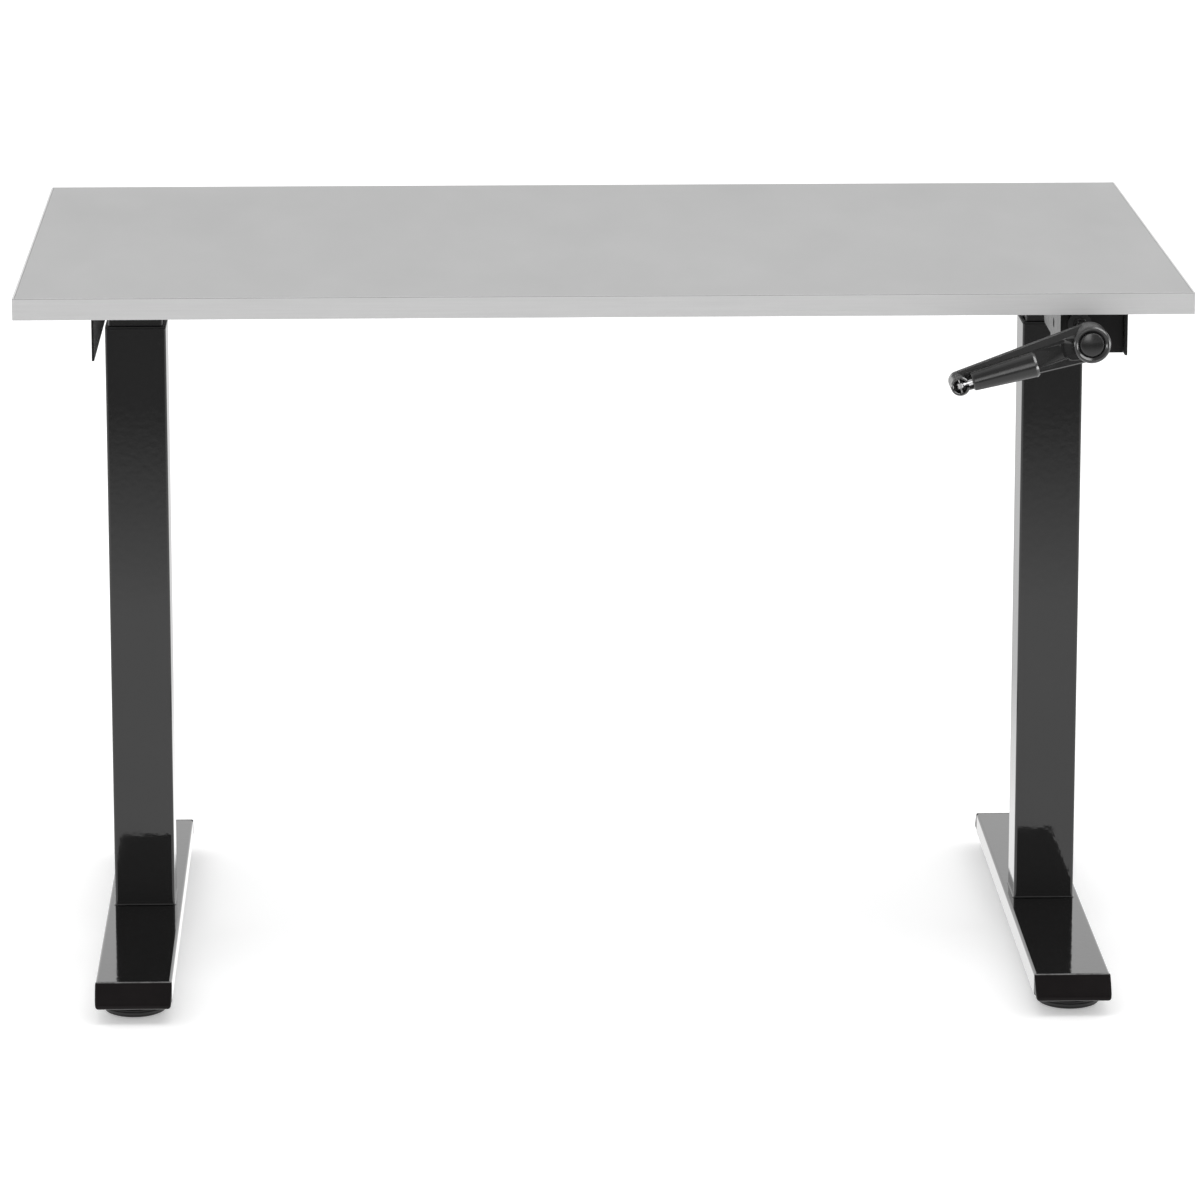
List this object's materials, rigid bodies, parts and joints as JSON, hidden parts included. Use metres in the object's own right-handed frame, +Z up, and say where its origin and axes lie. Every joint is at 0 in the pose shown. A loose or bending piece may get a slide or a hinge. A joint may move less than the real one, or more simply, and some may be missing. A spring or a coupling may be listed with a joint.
{
  "type": "height adjustable desk",
  "caption": "Hand-cranked height adjustable desk: rectangular laminate top on two telescopic T legs, with a folding crank under the front edge.",
  "frame": {"origin": "middle of the desk's overall bounds at floor level, under the middle of the glides, the top and the crank taken together", "axes": "+X to the user's right along the top's length, -Y towards the user, +Z up"},
  "size_m": [1.2, 0.7742, 0.77],
  "materials": {
    "laminate": "light grey melamine laminate, satin",
    "edge_band": "light grey plastic edge band, satin",
    "black_paint": "gloss black powder coat with slight orange peel",
    "crank_plastic": "satin black moulded plastic",
    "cap_plastic": "matte brownish-black moulded plastic",
    "nylon": "dark nylon, fine grained",
    "rubber": "black rubber",
    "steel": "bright drawn steel",
    "zinc": "zinc plated steel",
    "bronze": "turned bronze"
  },
  "bodies": {
    "base": {"left_foot_beam": "black_paint", "left_front_foot_cap": "cap_plastic", "left_rear_foot_cap": "cap_plastic", "left_outer_tube": "black_paint", "left_glide_collar": "nylon", "left_base_plate": "steel", "left_nut_tube": "steel", "left_screw_nut": "bronze", "right_foot_beam": "black_paint", "right_front_foot_cap": "cap_plastic", "right_rear_foot_cap": "cap_plastic", "right_outer_tube": "black_paint", "right_glide_collar": "nylon", "right_base_plate": "steel", "right_nut_tube": "steel", "right_screw_nut": "bronze"},
    "left_front_glide": {"left_front_glide_pad": "rubber", "left_front_glide_stud": "zinc"},
    "left_rear_glide": {"left_rear_glide_pad": "rubber", "left_rear_glide_stud": "zinc"},
    "right_front_glide": {"right_front_glide_pad": "rubber", "right_front_glide_stud": "zinc"},
    "right_rear_glide": {"right_rear_glide_pad": "rubber", "right_rear_glide_stud": "zinc"},
    "top_frame": {"tabletop": "laminate", "edge_band": "edge_band", "left_inner_tube": "black_paint", "left_gear_housing": "black_paint", "left_screw_bearing": "steel", "left_head_plate": "black_paint", "left_side_bracket": "black_paint", "left_front_rail": "black_paint", "left_rear_rail": "black_paint", "right_inner_tube": "black_paint", "right_gear_housing": "black_paint", "right_screw_bearing": "steel", "right_head_plate": "black_paint", "right_side_bracket": "black_paint", "right_front_rail": "black_paint", "right_rear_rail": "black_paint", "crank_bracket": "black_paint", "crank_bush": "nylon"},
    "crank_gear": {"crank_bevel": "zinc", "crank_tube": "black_paint"},
    "crank": {"crank_shaft": "steel", "crank_arm": "crank_plastic", "crank_hub_cap": "crank_plastic", "grip_pin": "steel"},
    "grip_hinge": {"grip_rod": "steel"},
    "grip": {"crank_grip": "crank_plastic"},
    "cross_shaft": {"left_cross_rod": "steel", "right_cross_rod": "steel", "cross_sleeve": "zinc", "left_drive_bevel": "zinc", "right_drive_bevel": "zinc", "crank_driven_bevel": "zinc"},
    "left_screw": {"left_lead_screw": "steel", "left_screw_bevel": "zinc"},
    "right_screw": {"right_lead_screw": "steel", "right_screw_bevel": "zinc"}
  },
  "joints": [
    {"name": "left_front_level", "type": "slide", "parent": "base", "child": "left_front_glide", "axis": [0, 0, -1], "range_m": [0, 0.01]},
    {"name": "left_rear_level", "type": "slide", "parent": "base", "child": "left_rear_glide", "axis": [0, 0, -1], "range_m": [0, 0.01]},
    {"name": "right_front_level", "type": "slide", "parent": "base", "child": "right_front_glide", "axis": [0, 0, -1], "range_m": [0, 0.01]},
    {"name": "right_rear_level", "type": "slide", "parent": "base", "child": "right_rear_glide", "axis": [0, 0, -1], "range_m": [0, 0.01]},
    {"name": "lift", "type": "slide", "parent": "base", "child": "top_frame", "axis": [0, 0, 1], "range_m": [0, 0.4]},
    {"name": "crank_turn", "type": "hinge", "parent": "top_frame", "child": "crank_gear", "pos_m": [0.491, -0.17288, 0.7245], "axis": [0, 1, 0], "range_deg": [0, 28800]},
    {"name": "crank_stow", "type": "slide", "parent": "crank_gear", "child": "crank", "axis": [0, 1, 0], "range_m": [0, 0.06]},
    {"name": "grip_fold", "type": "hinge", "parent": "crank", "child": "grip_hinge", "pos_m": [0.35759, -0.37388, 0.68371], "axis": [0.2672, 0, -0.9636], "range_deg": [0, 90]},
    {"name": "grip_spin", "type": "hinge", "parent": "grip_hinge", "child": "grip", "pos_m": [0.35759, -0.37388, 0.68371], "axis": [0.9636, 0, 0.2672], "continuous": true},
    {"name": "cross_turn", "type": "hinge", "parent": "top_frame", "child": "cross_shaft", "pos_m": [0, 0.02712, 0.7245], "axis": [1, 0, 0], "range_deg": [0, 28800]},
    {"name": "left_screw_turn", "type": "hinge", "parent": "top_frame", "child": "left_screw", "pos_m": [-0.491, 0.02712, 0.5], "axis": [0, 0, 1], "range_deg": [-28800, 0]},
    {"name": "right_screw_turn", "type": "hinge", "parent": "top_frame", "child": "right_screw", "pos_m": [0.491, 0.02712, 0.5], "axis": [0, 0, 1], "range_deg": [-28800, 0]}
  ],
  "couplings": [
    {"joint": "lift", "follows": "crank_turn", "m_per_rad": 0.00079577},
    {"joint": "cross_turn", "follows": "crank_turn", "ratio": 1},
    {"joint": "left_screw_turn", "follows": "crank_turn", "ratio": -1},
    {"joint": "right_screw_turn", "follows": "crank_turn", "ratio": -1}
  ]
}
